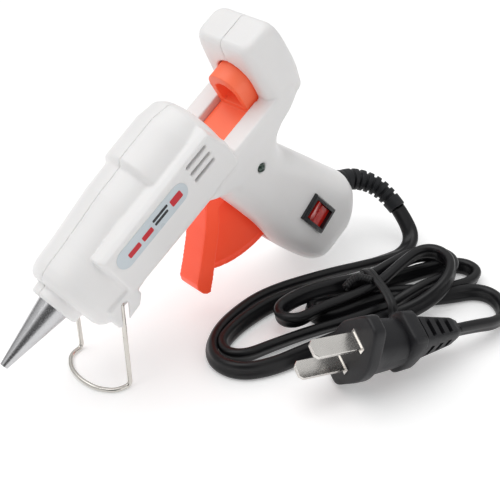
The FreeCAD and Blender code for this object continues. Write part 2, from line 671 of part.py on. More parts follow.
# ---------------------------------------------------------------- cord and plug
# These are drawn in the row frame, standing on z = 0.
RELIEF_ROUTE = [(74.38, 0.0, 24.22), (79.4, 0.0, 24.22), (84.8, -2.2, 23.6), (89.6, -7.2, 21.4),
                (91.6, -13.2, 18.0), (91.6, -18.8, 14.2)]
RELIEF_R = [4.7, 4.5, 4.2, 3.9, 3.6, 3.3]

# The cord from the strain relief round its tied bundle to the plug.
CORD_ROUTE = [
    (91.6, -18.8, 14.2), (91.8, -24.0, 9.6), (89.4, -29.0, 4.6), (81.6, -30.2, 2.1),
    (66.0, -25.6, 2.1), (48.0, -18.6, 2.1), (24.0, -10.8, 2.1), (5.0, -12.4, 2.1), (-7.6, -17.0, 2.1),
    (-14.6, -25.4, 2.1), (-12.6, -35.6, 2.1), (-3.0, -41.4, 2.1), (11.0, -44.4, 2.1),
    (29.0, -48.8, 2.1), (46.5, -51.9, 2.1), (57.0, -57.6, 4.6), (66.5, -60.6, 9.2),
    (75.6, -56.6, 11.2), (78.6, -48.4, 11.2), (74.4, -42.6, 10.8), (65.0, -41.6, 9.6),
    (51.5, -40.8, 6.5), (38.0, -38.4, 6.5), (26.8, -35.6, 6.5), (16.6, -35.0, 6.5),
    (13.2, -30.0, 6.5), (16.8, -25.2, 6.5), (29.4, -25.8, 6.5), (42.0, -30.6, 6.5),
    (53.5, -36.6, 6.5), (65.4, -37.0, 6.5), (79.0, -38.2, 6.5), (86.0, -46.2, 6.5),
    (82.6, -54.0, 6.5), (72.4, -55.6, 6.7), (61.0, -52.0, 6.5), (48.5, -47.3, 2.1),
    (35.2, -43.8, 2.1), (19.0, -37.6, 2.1), (4.4, -33.6, 2.1), (-5.4, -31.6, 2.1),
    (-9.2, -26.8, 2.1), (-7.0, -21.6, 2.1), (-0.6, -19.0, 2.1), (8.0, -17.4, 2.1), (23.0, -17.2, 2.1),
    (38.6, -22.4, 2.1), (54.5, -34.3, 2.1), (67.0, -39.8, 2.1), (81.0, -44.6, 2.1),
    (91.2, -51.2, 2.1), (90.8, -59.0, 2.1), (83.0, -60.6, 2.1), (73.0, -56.0, 2.1),
    (62.8, -46.6, 2.1), (52.5, -38.6, 2.1), (41.6, -31.6, 2.1), (33.8, -27.4, 2.1),
    (29.4, -28.7, 2.1), (27.4, -32.9, 2.1), (29.1, -37.1, 2.1), (38.0, -39.8, 2.1),
    (50.5, -42.9, 2.1),
    (61.4, -52.4, 2.1), (71.6, -59.6, 2.1), (80.4, -64.6, 2.1), (82.6, -71.6, 2.1),
    (77.0, -79.6, 2.8), (67.2, -81.6, 5.2), (57.8, -79.2, 8.0), (48.8, -76.5, 9.5)]

# The plug's own axes: x from its face to its tail, z from its lower to its upper blade.
PLUG_FACE = (8.7, -64.1, 16.7)
PLUG_UP = (0.15, -0.45, 0.87)
PLUG_TAIL_R = 3.4


def strain_relief():
    """A tapered boot from the handle down to the cord, with a collar and a foot inside."""
    centres = [V(*point) for point in RELIEF_ROUTE]
    rings = []
    for i, centre in enumerate(centres):
        before = centres[max(i - 1, 0)]
        after = centres[min(i + 1, len(centres) - 1)]
        rings.append(Part.Wire(Part.makeCircle(RELIEF_R[i], centre, after - before)))
    boot = Part.makeLoft(rings, True, False)
    start = centres[0]
    along = (centres[1] - centres[0]).normalize()
    neck = Part.makeCylinder(GLAND_R - 0.1, 5.0, start - along * 4.0, along)
    collar = Part.makeCylinder(5.4, 1.8, start + along * 1.2, along)
    return fuse(boot, neck, collar)


def cord():
    corners = [V(*point) for point in CORD_ROUTE]
    radii = largest_radii(corners)
    print("cord radii", [round(radius, 1) for radius in radii])
    edges = rounded_path(corners, radii)
    tube = swept(edges, CORD_R, corners[0], corners[1] - corners[0])
    length = sum(edge.Length for edge in edges)
    print("cord length", round(length, 1), "volume over section x length",
          round(tube.Volume / (math.pi * CORD_R ** 2 * length), 4))
    return tube


def twist_tie():
    """A wire tie round the bundle's waist with its twisted ends on top."""
    across = V(-8.0, -17.0, 0).normalize()
    middle = V(50.2, -43.4, 0)
    half = 13.6
    ring = [middle - across * half + V(0, 0, 3.0), middle - across * (half - 2.6) + V(0, 0, 9.6),
            middle + V(0, 0, 11.0), middle + across * (half - 3.0) + V(0, 0, 9.0),
            middle + across * half + V(0, 0, 2.6)]
    loop = swept(rounded_path(ring, [3.0, 6.0, 3.0]), 0.9, ring[0], ring[1] - ring[0])
    end = ring[2] + V(0, 0, 0.4)
    tail = swept(rounded_path([end, end + V(-4, 5, 1.4), end + V(-10, 6, 0.2)], [4.0]),
                 1.1, end, V(-4, 5, 1.4))
    return fuse(loop, tail)


def plug_place(shape):
    face = V(*PLUG_FACE)
    along = (V(*CORD_ROUTE[-1]) - face).normalize()
    up = V(*PLUG_UP)
    up = (up - along * up.dot(along)).normalize()
    side = up.cross(along)
    shape.Placement = FreeCAD.Placement(FreeCAD.Matrix(
        along.x, side.x, up.x, face.x, along.y, side.y, up.y, face.y,
        along.z, side.z, up.z, face.z, 0, 0, 0, 1))
    return shape


def plug_body():
    end = (V(*CORD_ROUTE[-1]) - V(*PLUG_FACE)).Length
    hexagon = [(-2.6, -16.0), (2.6, -16.0), (9.4, -5.0), (9.4, 5.0), (2.6, 16.0), (-2.6, 16.0),
               (-9.4, 4.6), (-9.4, -4.6)]
    corners = [V(0, y, z) for y, z in hexagon]
    flange = Part.Face(Part.makePolygon(corners + corners[:1])).extrude(V(4.4, 0, 0))
    neck = Part.makeCone(8.0, 6.6, 13.0, V(4, 0, 0), V(1, 0, 0))
    block = box(16.5, 21.5, -6.4, 6.4, -8.4, 8.4)
    block = block.makeChamfer(1.6, [e for e in block.Edges if abs(e.tangentAt(0).x) > 0.9])
    tail = Part.makeCone(6.0, PLUG_TAIL_R, end - 21.0, V(21.0, 0, 0), V(1, 0, 0))
    body = fuse(flange, neck, block, tail)
    slots = [box(-1, 3.2, -BLADE[1] / 2, BLADE[1] / 2, z - BLADE[2] / 2, z + BLADE[2] / 2)
             for z in (-BLADE_PITCH / 2, BLADE_PITCH / 2)]
    return plug_place(body.cut(slots))


def plug_blades():
    length, width, thick = BLADE
    blades = []
    for z in (-BLADE_PITCH / 2, BLADE_PITCH / 2):
        blade = box(-length, 3.2, -width / 2, width / 2, z - thick / 2, z + thick / 2)
        tips = [e for e in blade.Edges if e.BoundBox.XMax < 0.1 - length and e.Length < width]
        blades.append(blade.makeChamfer(1.2, tips))
    return plug_place(Part.makeCompound(blades))


# ---------------------------------------------------------------- placing and writing
def stand_up(shape):
    shape = shape.copy()
    shape.rotate(V(0, 0, 0), V(0, 1, 0), -TILT)
    return shape


def main():
    left, right = housing_halves()
    gun = {
        "housing_left": left, "housing_right": right, "nozzle": nozzle(),
        "melt_chamber": melt_chamber(), "heater_plate": heater_plate(),
        "heater_clip": heater_clip(), "inlet_sleeve": inlet_sleeve(),
        "sleeve_clip": sleeve_clip(), "feed_carriage": feed_carriage(),
        "stick_grip": stick_grip(), "stick_inlet": stick_inlet(), "trigger": trigger(),
        "trigger_pin": trigger_pin(), "drive_pin": drive_pin(),
        "return_spring": return_spring(), "wire_stand": wire_stand(),
        "switch_body": switch_body(), "switch_rocker": switch_rocker(),
        "switch_terminals": switch_terminals(), "indicator_lamp": indicator_lamp(),
        "label_plate": label_outline(0.1, 0.28), "housing_screws": housing_screws(),
        "lead_wires": lead_wires()}
    placed = {name: stand_up(shape) for name, shape in gun.items()}
    bounds = Part.makeCompound(list(placed.values())).BoundBox
    shift = V(-(bounds.XMin + bounds.XMax) / 2, 0, -butt_low())
    print("box", bounds, "shift", shift)
    for shape in placed.values():
        shape.translate(shift)
    placed["strain_relief"] = strain_relief()
    placed["cord"] = cord()
    placed["twist_tie"] = twist_tie()
    placed["plug_body"] = plug_body()
    placed["plug_blades"] = plug_blades()
    for name, shape in placed.items():
        shape.exportStep("parts/" + name + ".step")
        print(name, shape.ShapeType, len(shape.Solids), shape.isValid(), round(shape.Volume, 1))


main()
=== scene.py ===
import json
import math

import bmesh
import bpy
from mathutils import Matrix, Vector

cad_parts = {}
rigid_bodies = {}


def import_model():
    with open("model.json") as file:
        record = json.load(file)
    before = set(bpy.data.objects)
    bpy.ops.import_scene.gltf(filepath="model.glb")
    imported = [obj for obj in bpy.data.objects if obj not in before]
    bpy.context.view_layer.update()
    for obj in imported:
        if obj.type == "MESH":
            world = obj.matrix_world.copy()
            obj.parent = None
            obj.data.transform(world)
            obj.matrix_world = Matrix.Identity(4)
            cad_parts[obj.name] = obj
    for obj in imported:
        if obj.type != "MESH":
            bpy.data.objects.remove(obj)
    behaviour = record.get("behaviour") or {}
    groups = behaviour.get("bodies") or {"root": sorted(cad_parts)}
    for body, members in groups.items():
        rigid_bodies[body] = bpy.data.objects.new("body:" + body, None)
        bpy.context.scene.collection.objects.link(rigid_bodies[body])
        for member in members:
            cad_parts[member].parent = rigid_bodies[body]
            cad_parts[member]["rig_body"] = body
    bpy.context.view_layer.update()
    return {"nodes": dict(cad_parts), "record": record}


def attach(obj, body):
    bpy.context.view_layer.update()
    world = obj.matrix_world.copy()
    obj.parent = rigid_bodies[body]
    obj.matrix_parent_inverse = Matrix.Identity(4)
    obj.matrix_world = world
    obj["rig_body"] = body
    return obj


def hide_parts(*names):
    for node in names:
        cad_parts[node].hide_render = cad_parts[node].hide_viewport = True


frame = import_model()
nodes = frame["nodes"]
MM = 0.001

# Places on the gun are given in its barrel frame, in millimetres: x back from the nozzle tip,
# y lateral, z up across the barrel.  The record's stick inlet says how that frame lies.
INLET_X = 127.6
inlet = next(m for m in frame["record"]["mounts"] if m["name"] == "stick_inlet")
BACK = Vector(inlet["axis"]).normalized()
SIDE = Vector((0, 1, 0))
ACROSS = BACK.cross(SIDE)
ORIGIN = Vector(inlet["pos_m"]) - BACK * INLET_X * MM


def at(x, y, z):
    return ORIGIN + (BACK * x + SIDE * y + ACROSS * z) * MM


# ---------------------------------------------------------------- materials
NOISE_RANGE = (0.3, 0.7)


def new_material(name, colour, roughness, metallic=0.0, coat=0.0, transmission=0.0,
                 subsurface=0.0):
    material = bpy.data.materials.new(name)
    material.use_nodes = True
    shader = material.node_tree.nodes["Principled BSDF"]
    shader.inputs["Base Color"].default_value = (*colour, 1)
    shader.inputs["Roughness"].default_value = roughness
    shader.inputs["Metallic"].default_value = metallic
    shader.inputs["Coat Weight"].default_value = coat
    shader.inputs["Coat Roughness"].default_value = 0.15
    shader.inputs["Transmission Weight"].default_value = transmission
    shader.inputs["Subsurface Weight"].default_value = subsurface
    shader.inputs["Subsurface Radius"].default_value = (0.002, 0.0015, 0.0012)
    return material, material.node_tree, shader


def painted_glow(material, colour, strength):
    """Painted light: a small emission, which lifts the saturated plastic to its brightness as if
    more light fell on its shaded faces.
    """
    shader = material.node_tree.nodes["Principled BSDF"]
    shader.inputs["Emission Color"].default_value = (*colour, 1)
    shader.inputs["Emission Strength"].default_value = strength


def noise(tree, scale, detail=3.0, stretch=None):
    """Noise in the piece's own coordinates; its values mostly lie in NOISE_RANGE."""
    coords = tree.nodes.new("ShaderNodeTexCoord")
    texture = tree.nodes.new("ShaderNodeTexNoise")
    texture.inputs["Scale"].default_value = scale
    texture.inputs["Detail"].default_value = detail
    source = coords.outputs["Object"]
    if stretch:
        mapping = tree.nodes.new("ShaderNodeMapping")
        mapping.inputs["Scale"].default_value = stretch
        tree.links.new(source, mapping.inputs["Vector"])
        source = mapping.outputs["Vector"]
    tree.links.new(source, texture.inputs["Vector"])
    return texture


def vary_colour(tree, shader, colour, spread, scale):
    """Slow patches a little lighter and darker than the colour."""
    texture = noise(tree, scale)
    ramp = tree.nodes.new("ShaderNodeValToRGB")
    ramp.color_ramp.elements[0].position = NOISE_RANGE[0]
    ramp.color_ramp.elements[1].position = NOISE_RANGE[1]
    ramp.color_ramp.elements[0].color = (*[c * (1 - spread) for c in colour], 1)
    ramp.color_ramp.elements[1].color = (*[min(1, c * (1 + spread)) for c in colour], 1)
    tree.links.new(texture.outputs["Fac"], ramp.inputs["Fac"])
    tree.links.new(ramp.outputs["Color"], shader.inputs["Base Color"])


def vary_roughness(tree, shader, low, high, scale, stretch=None):
    """Gloss that wanders between two roughnesses."""
    texture = noise(tree, scale, stretch=stretch)
    spread = tree.nodes.new("ShaderNodeMapRange")
    spread.inputs["From Min"].default_value = NOISE_RANGE[0]
    spread.inputs["From Max"].default_value = NOISE_RANGE[1]
    spread.inputs["To Min"].default_value = low
    spread.inputs["To Max"].default_value = high
    tree.links.new(texture.outputs["Fac"], spread.inputs["Value"])
    tree.links.new(spread.outputs["Result"], shader.inputs["Roughness"])


def add_bump(tree, shader, scale, height, stretch=None):
    """Fine relief, height in metres."""
    texture = noise(tree, scale, detail=2.0, stretch=stretch)
    bump = tree.nodes.new("ShaderNodeBump")
    bump.inputs["Distance"].default_value = height
    bump.inputs["Strength"].default_value = 1.0
    tree.links.new(texture.outputs["Fac"], bump.inputs["Height"])
    tree.links.new(bump.outputs["Normal"], shader.inputs["Normal"])


def moulded(name, colour, roughness, grain=0.00002, grain_scale=1600, spread=0.015,
            specular=0.5, **extra):
    """Moulded plastic or rubber: a fine spark-eroded grain and slightly uneven gloss."""
    material, tree, shader = new_material(name, colour, roughness, **extra)
    shader.inputs["Specular IOR Level"].default_value = specular
    vary_colour(tree, shader, colour, spread, 45)
    vary_roughness(tree, shader, roughness - 0.05, roughness + 0.06, 120)
    add_bump(tree, shader, grain_scale, grain)
    return material


def metal(name, colour, roughness, stretch=None, line_height=0.000006, spread=0.04):
    """Bare or plated metal with fine lines along one direction."""
    material, tree, shader = new_material(name, colour, roughness, metallic=1.0)
    vary_colour(tree, shader, colour, spread, 160)
    vary_roughness(tree, shader, roughness - 0.06, roughness + 0.1, 500, stretch)
    add_bump(tree, shader, 900, line_height, stretch)
    return material


WHITE = (0.86, 0.85, 0.845)
ORANGE = (0.98, 0.105, 0.04)
# The carriage's orange, painted lighter and pinker than the trigger's: partly its own orange,
# partly a painted highlight from its top-facing plate.
SALMON_WITH_PAINTED_HIGHLIGHT = (0.97, 0.19, 0.085)

looks = {
    "shell_white": moulded("shell_white", WHITE, 0.34, grain=0.000012, subsurface=0.05),
    "trigger_orange": moulded("trigger_orange", ORANGE, 0.36, grain=0.00001, subsurface=0.06),
    "carriage_orange": moulded("carriage_orange", SALMON_WITH_PAINTED_HIGHLIGHT, 0.42, grain=0.00001, subsurface=0.06),
    "nozzle_aluminium": metal("nozzle_aluminium", (0.56, 0.56, 0.57), 0.2, (6, 1, 6)),
    "chamber_aluminium": metal("chamber_aluminium", (0.66, 0.66, 0.67), 0.5,
                               line_height=0.00003),
    "heater_film": moulded("heater_film", (0.55, 0.25, 0.03), 0.3, coat=0.5),
    "spring_steel": metal("spring_steel", (0.50, 0.51, 0.52), 0.28, (1, 8, 1)),
    "silicone": moulded("silicone", (0.75, 0.73, 0.68), 0.5, subsurface=0.2),
    "nickel_wire": metal("nickel_wire", (0.66, 0.64, 0.60), 0.2, (1, 1, 5)),
    "pin_steel": metal("pin_steel", (0.52, 0.52, 0.53), 0.3, (1, 6, 1)),
    "screw_steel": metal("screw_steel", (0.42, 0.42, 0.43), 0.34),
    "inlet_white": moulded("inlet_white", (0.84, 0.83, 0.82), 0.36, subsurface=0.05),
    "switch_black": moulded("switch_black", (0.014, 0.014, 0.016), 0.28, coat=0.3),
    "rocker_red": moulded("rocker_red", (0.78, 0.02, 0.012), 0.2, coat=0.6,
                          transmission=0.25, spread=0.08),
    "terminal_brass": metal("terminal_brass", (0.72, 0.55, 0.24), 0.35),
    "lamp_green": moulded("lamp_green", (0.004, 0.03, 0.016), 0.12, grain=0.000002, coat=0.8),
    "label_grey": moulded("label_grey", (0.62, 0.68, 0.72), 0.3, grain=0.000003, spread=0.06),
    "wire_insulation": moulded("wire_insulation", (0.70, 0.70, 0.64), 0.7),
    "cord_black": moulded("cord_black", (0.006, 0.006, 0.007), 0.36, grain=0.00001,
                          grain_scale=900, spread=0.1, specular=0.35),
    "relief_black": moulded("relief_black", (0.009, 0.010, 0.012), 0.5, grain=0.00003,
                            specular=0.35),
    "tie_black": moulded("tie_black", (0.007, 0.007, 0.008), 0.4, grain=0.00003,
                         specular=0.4),
    "plug_black": moulded("plug_black", (0.010, 0.010, 0.012), 0.46, grain=0.00004,
                          grain_scale=1200, specular=0.35),
    "blade_nickel": metal("blade_nickel", (0.70, 0.68, 0.65), 0.22, (1, 8, 8)),
    "print_red": moulded("print_red", (0.60, 0.018, 0.03), 0.4, grain=0.000003),
    "print_dark": moulded("print_dark", (0.03, 0.03, 0.034), 0.4, grain=0.000003),
}
# Painted light: the trigger and the carriage glow a little, standing in for light on their shaded,
# downward faces.
painted_glow(looks["trigger_orange"], (1.0, 0.06, 0.02), 0.24)
painted_glow(looks["carriage_orange"], (1.0, 0.08, 0.03), 0.14)
slot_of = {part["node"]: part["material_slot"] for part in frame["record"]["subparts"]}


def finish_with(piece, look):
    piece.data.materials.clear()
    piece.data.materials.append(looks[look])
    return piece


for name, node in nodes.items():
    finish_with(node, slot_of[name])


# ---------------------------------------------------------------- mesh helpers
WELD = 0.000002                  # points closer than this are one point


def add_piece(name, points, faces, body, slot):
    mesh = bpy.data.meshes.new(name)
    mesh.from_pydata([tuple(p) for p in points], [], faces)
    mesh.validate()
    piece = bpy.data.objects.new(name, mesh)
    bpy.context.scene.collection.objects.link(piece)
    shade_smooth(piece)
    return dress(piece, body, slot)


def dress(piece, body, slot):
    """Its look, the body that it moves with and its material slot."""
    finish_with(piece, slot)
    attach(piece, body)
    return piece


def shade_smooth(piece):
    for polygon in piece.data.polygons:
        polygon.use_smooth = True


def bake_modifiers(piece):
    """The piece's mesh as its modifiers leave it."""
    graph = bpy.context.evaluated_depsgraph_get()
    mesh = bpy.data.meshes.new_from_object(piece.evaluated_get(graph))
    piece.modifiers.clear()
    piece.data = mesh
    return piece


def softened(node, name, voxel, rounds):
    """A copy of a moulded part with its edges rounded as a mould leaves them."""
    mesh = nodes[node].data.copy()
    welded = bmesh.new()
    welded.from_mesh(mesh)
    bmesh.ops.remove_doubles(welded, verts=welded.verts, dist=WELD)
    welded.to_mesh(mesh)
    welded.free()
    piece = bpy.data.objects.new(name, mesh)
    bpy.context.scene.collection.objects.link(piece)
    remesh = piece.modifiers.new("remesh", "REMESH")
    remesh.mode = "VOXEL"
    remesh.voxel_size = voxel
    relax = piece.modifiers.new("relax", "SMOOTH")
    relax.factor = 0.5
    relax.iterations = rounds
    bake_modifiers(piece)
    shade_smooth(piece)
    dress(piece, nodes[node]["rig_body"], slot_of[node])
    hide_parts(node)
    return piece


def lofted(name, rings, body, slot):
    """A closed skin over rings of equal counts of points."""
    count = len(rings[0])
    points = [p for ring in rings for p in ring]
    faces = []
    for i in range(len(rings) - 1):
        for j in range(count):
            k = (j + 1) % count
            faces.append((i * count + j, i * count + k, (i + 1) * count + k,
                          (i + 1) * count + j))
    faces.append(tuple(reversed(range(count))))
    faces.append(tuple(range(len(points) - count, len(points))))
    return add_piece(name, points, faces, body, slot)


def nurbs_line(points, steps):
    """Points along the smooth NURBS curve that the given points control, in metres."""
    data = bpy.data.curves.new("route", "CURVE")
    data.dimensions = "3D"
    spline = data.splines.new("NURBS")
    spline.points.add(len(points) - 1)
    for knot, point in zip(spline.points, points):
        knot.co = (*point, 1)
    spline.order_u = 3
    spline.use_endpoint_u = True
    spline.resolution_u = steps
    holder = bpy.data.objects.new("route", data)
    mesh = bpy.data.meshes.new_from_object(holder)
    line = [v.co.copy() for v in mesh.vertices]
    bpy.data.objects.remove(holder)
    bpy.data.meshes.remove(mesh)
    return line


def tangents(line):
    last = len(line) - 1
    return [(line[min(i + 1, last)] - line[max(i - 1, 0)]).normalized()
            for i in range(last + 1)]


def sharpen(piece, degrees=32):
    """Flat shading across real edges, smooth over curved faces."""
    piece.data.set_sharp_from_angle(angle=math.radians(degrees))


def edge_bevel(node, width):
    """Small rounded edges on a CAD node, by modifiers only."""
    piece = nodes[node]
    weld = piece.modifiers.new("weld", "WELD")
    weld.merge_threshold = WELD
    bevel = piece.modifiers.new("bevel", "BEVEL")
    bevel.width = width
    bevel.segments = 3
    bevel.limit_method = "ANGLE"
    bevel.angle_limit = math.radians(34)
    bevel.harden_normals = True


# ---------------------------------------------------------------- stage, light, camera
FLOOR_HALF = 3.0
FLOOR_GLOW = 0.26
SKY_STRENGTH = 0.72
HORIZON_GREY = 0.36
FULL_SKY = 0.55                    # the height in the sky from which it is white
DARK_SIDE = (-0.58, -0.59, 0.56)   # the unlit side of the studio
DARK_RIM = (0.82, 0.95)            # the cosines from it between which it fades in
DARK_GREY = 0.22
LIGHT_TARGET = (0, 0, 0.05)


def make_stage():
    mesh = bpy.data.meshes.new("floor")
    corners = [(x * FLOOR_HALF, y * FLOOR_HALF, 0) for x, y in ((-1, -1), (1, -1), (1, 1), (-1, 1))]
    mesh.from_pydata(corners, [], [(0, 1, 2, 3)])
    floor = bpy.data.objects.new("floor", mesh)
    bpy.context.scene.collection.objects.link(floor)
    material, tree, shader = new_material("floor_white", (0.9, 0.9, 0.9), 0.6)
    shader.inputs["Emission Color"].default_value = (1, 1, 1, 1)
    shader.inputs["Emission Strength"].default_value = FLOOR_GLOW
    vary_roughness(tree, shader, 0.55, 0.65, 40)
    mesh.materials.append(material)


def area_light(name, place, size, power):
    data = bpy.data.lights.new(name, "AREA")
    data.shape = "RECTANGLE"
    data.size, data.size_y = size
    data.energy = power
    light = bpy.data.objects.new(name, data)
    light.location = place
    aim = Vector(LIGHT_TARGET) - Vector(place)
    light.rotation_euler = aim.to_track_quat("-Z", "Y").to_euler()
    bpy.context.scene.collection.objects.link(light)


def make_lights():
    """A pale sky, darker at the horizon and on one side, and two soft lights."""
    world = bpy.data.worlds.new("studio")
    world.use_nodes = True
    tree = world.node_tree
    backdrop = tree.nodes["Background"]
    backdrop.inputs["Strength"].default_value = SKY_STRENGTH
    coords = tree.nodes.new("ShaderNodeTexCoord")
    split = tree.nodes.new("ShaderNodeSeparateXYZ")
    fade = tree.nodes.new("ShaderNodeValToRGB")
    fade.color_ramp.elements[0].position = 0.0
    fade.color_ramp.elements[0].color = (HORIZON_GREY, HORIZON_GREY, HORIZON_GREY, 1)
    fade.color_ramp.elements[1].position = FULL_SKY
    fade.color_ramp.elements[1].color = (1, 1, 1, 1)
    tree.links.new(coords.outputs["Generated"], split.inputs["Vector"])
    tree.links.new(split.outputs["Z"], fade.inputs["Fac"])
    towards = tree.nodes.new("ShaderNodeVectorMath")
    towards.operation = "DOT_PRODUCT"
    towards.inputs[1].default_value = DARK_SIDE
    tree.links.new(coords.outputs["Generated"], towards.inputs[0])
    dim = tree.nodes.new("ShaderNodeMapRange")
    dim.interpolation_type = "SMOOTHSTEP"
    dim.inputs["From Min"].default_value = DARK_RIM[0]
    dim.inputs["From Max"].default_value = DARK_RIM[1]
    dim.inputs["To Min"].default_value = 1.0
    dim.inputs["To Max"].default_value = DARK_GREY
    tree.links.new(towards.outputs["Value"], dim.inputs["Value"])
    shaded = tree.nodes.new("ShaderNodeVectorMath")
    shaded.operation = "SCALE"
    tree.links.new(fade.outputs["Color"], shaded.inputs[0])
    tree.links.new(dim.outputs["Result"], shaded.inputs["Scale"])
    tree.links.new(shaded.outputs["Vector"], backdrop.inputs["Color"])
    bpy.context.scene.world = world
    bpy.context.scene.view_settings.view_transform = "Standard"
    area_light("overhead", (-0.25, 0.2, 0.95), (1.0, 1.0), 5.0)
    area_light("low_fill", (0.15, -0.8, 0.16), (0.6, 0.25), 0.5)


# The camera stands off the gun's left front.
CAMERA_PLACE = (-162.67, -194.29, 177.65)   # millimetres, its height above the nozzle tip's
CAMERA_AIM = (0.57928, 0.59099, -0.56139)
LENS = 64.09


def make_camera():
    data = bpy.data.cameras.new("camera")
    data.lens = LENS
    data.sensor_width = 36
    data.clip_start = 0.01
    data.clip_end = 20
    camera = bpy.data.objects.new("camera", data)
    camera.location = Vector(CAMERA_PLACE) * MM + Vector((0, 0, ORIGIN.z))
    camera.rotation_euler = Vector(CAMERA_AIM).to_track_quat("-Z", "Y").to_euler()
    bpy.context.scene.collection.objects.link(camera)
    bpy.context.scene.camera = camera


make_stage()
make_lights()
make_camera()

# ---------------------------------------------------------------- cord
# The cord's route from the strain relief round its tied bundle to the plug, in millimetres.
CORD_ROUTE = [
    (91.6, -18.8, 14.2), (91.8, -24.0, 9.6), (89.4, -29.0, 4.6), (81.6, -30.2, 2.1),
    (66.0, -25.6, 2.1), (48.0, -18.6, 2.1), (24.0, -10.8, 2.1), (5.0, -12.4, 2.1),
    (-7.6, -17.0, 2.1), (-14.6, -25.4, 2.1), (-12.6, -35.6, 2.1), (-3.0, -41.4, 2.1),
    (11.0, -44.4, 2.1),
    (29.0, -48.8, 2.1), (46.5, -51.9, 2.1), (57.0, -57.6, 4.6), (66.5, -60.6, 9.2),
    (75.6, -56.6, 11.2), (78.6, -48.4, 11.2), (74.4, -42.6, 10.8), (65.0, -41.6, 9.6),
    (51.5, -40.8, 6.5), (38.0, -38.4, 6.5), (26.8, -35.6, 6.5), (16.6, -35.0, 6.5),
    (13.2, -30.0, 6.5), (16.8, -25.2, 6.5), (29.4, -25.8, 6.5), (42.0, -30.6, 6.5),
    (53.5, -36.6, 6.5), (65.4, -37.0, 6.5), (79.0, -38.2, 6.5), (86.0, -46.2, 6.5),
    (82.6, -54.0, 6.5), (72.4, -55.6, 6.7), (61.0, -52.0, 6.5), (48.5, -47.3, 2.1),
    (35.2, -43.8, 2.1), (19.0, -37.6, 2.1), (4.4, -33.6, 2.1), (-5.4, -31.6, 2.1),
    (-9.2, -26.8, 2.1), (-7.0, -21.6, 2.1), (-0.6, -19.0, 2.1), (8.0, -17.4, 2.1),
    (23.0, -17.2, 2.1), (38.6, -22.4, 2.1), (54.5, -34.3, 2.1), (67.0, -39.8, 2.1),
    (81.0, -44.6, 2.1), (91.2, -51.2, 2.1), (90.8, -59.0, 2.1), (83.0, -60.6, 2.1),
    (73.0, -56.0, 2.1), (62.8, -46.6, 2.1), (52.5, -38.6, 2.1), (41.6, -31.6, 2.1),
    (33.8, -27.4, 2.1), (29.4, -28.7, 2.1), (27.4, -32.9, 2.1), (29.1, -37.1, 2.1),
    (38.0, -39.8, 2.1), (50.5, -42.9, 2.1), (61.4, -52.4, 2.1), (71.6, -59.6, 2.1),
    (80.4, -64.6, 2.1), (82.6, -71.6, 2.1), (77.0, -79.6, 2.8), (67.2, -81.6, 5.2),
    (57.8, -79.2, 8.0), (48.8, -76.5, 9.5)]
CORD_WIDTH = 6.2 * MM
CORD_HEIGHT = 3.8 * MM
GROOVE = 0.2                     # the dip between the two cores, as a share of the half height
EDGE_ROLL = math.radians(58)     # how far the flat cord stands on its edge in the bundle
BEND_ROLL = math.radians(22)     # and how much further in its tightest folds
TIGHT_BEND = 90                  # the curvature of such a fold, per metre
CORNER_POWER = 0.8               # below 1, an oval's corners fill out
FLOOR_GAP = 0.05 * MM
LOWEST_LAYER = 2.1 * MM
LAYER_SPREAD = 0.28              # standing on edge, the upper layers lie this share higher


def filled_out(value, power):
    """A sine or cosine raised to a power with its sign kept."""
    return math.copysign(abs(value) ** power, value)


def two_core_profile(count):
    """Across the flat cord: two cores side by side, as (width, height) offsets."""
    ring = []
    for i in range(count):
        turn = 2 * math.pi * i / count
        across = CORD_WIDTH / 2 * filled_out(math.cos(turn), CORNER_POWER)
        rise = CORD_HEIGHT / 2 * filled_out(math.sin(turn), CORNER_POWER)
        dip = 1 - GROOVE * math.exp(-(across / (0.14 * CORD_WIDTH)) ** 2)
        ring.append((across, rise * dip))
    return ring


def smoothed(values, reach):
    """A running mean over reach values each side."""
    result = []
    for i in range(len(values)):
        window = values[max(0, i - reach):i + reach + 1]
        result.append(sum(window) / len(window))
    return result


def step_between(x, low, high):
    """A smooth step from 0 at low to 1 at high."""
    t = max(0.0, min(1.0, (x - low) / (high - low)))
    return t * t * (3 - 2 * t)


def make_cord():
    """The flat lead along its route, rolled on its edge through the bundle."""
    line = nurbs_line([Vector(p) * MM for p in CORD_ROUTE], 14)
    last = len(line) - 1
    for i, point in enumerate(line):
        inside = (step_between(i, 0.04 * last, 0.1 * last)
                  * step_between(last - i, 0.03 * last, 0.08 * last))
        point.z += inside * LAYER_SPREAD * max(0.0, point.z - LOWEST_LAYER)
    heading = tangents(line)
    bend = []
    for i in range(len(line)):
        ahead = min(i + 1, last)
        step = max((line[ahead] - line[i]).length, 0.0001)
        bend.append(min(1.0, heading[i].angle(heading[ahead], 0) / step / TIGHT_BEND))
    roll = [EDGE_ROLL * step_between(i, 0.02 * last, 0.07 * last) + BEND_ROLL * b
            for i, b in enumerate(smoothed(smoothed(bend, 14), 14))]
    profile = two_core_profile(28)
    rings = []
    for centre, along, lean in zip(line, heading, roll):
        level = along.cross(Vector((0, 0, 1))).normalized()
        level.rotate(Matrix.Rotation(lean, 3, along))
        up = level.cross(along).normalized()
        ring = [centre + level * across + up * rise for across, rise in profile]
        lowest = min(p.z for p in ring)
        lift = Vector((0, 0, max(0.0, FLOOR_GAP - lowest)))
        rings.append([p + lift for p in ring])
    cord = lofted("mains_cord", rings, "housing", "cord_black")
    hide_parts("cord")
    return cord, line


cord, cord_line = make_cord()

# ---------------------------------------------------------------- strain relief
RELIEF_ROUTE = [(74.38, 0.0, 24.22), (79.4, 0.0, 24.22), (84.8, -2.2, 23.6), (89.6, -7.2, 21.4),
                (91.6, -13.2, 18.0), (91.6, -18.8, 14.2)]
RELIEF_RADIUS = 4.6
RELIEF_TAPER = 1.1               # how much thinner it ends
RELIEF_RIBS = 7
RIBBED = (0.2, 0.86)             # the share of its length with ribs
RIB_DEPTH = 0.95
ROOT_RADIUS = 5.0                # at the housing, before the ribs
ROOT_STEP = 0.7
ROOT_END = 0.16


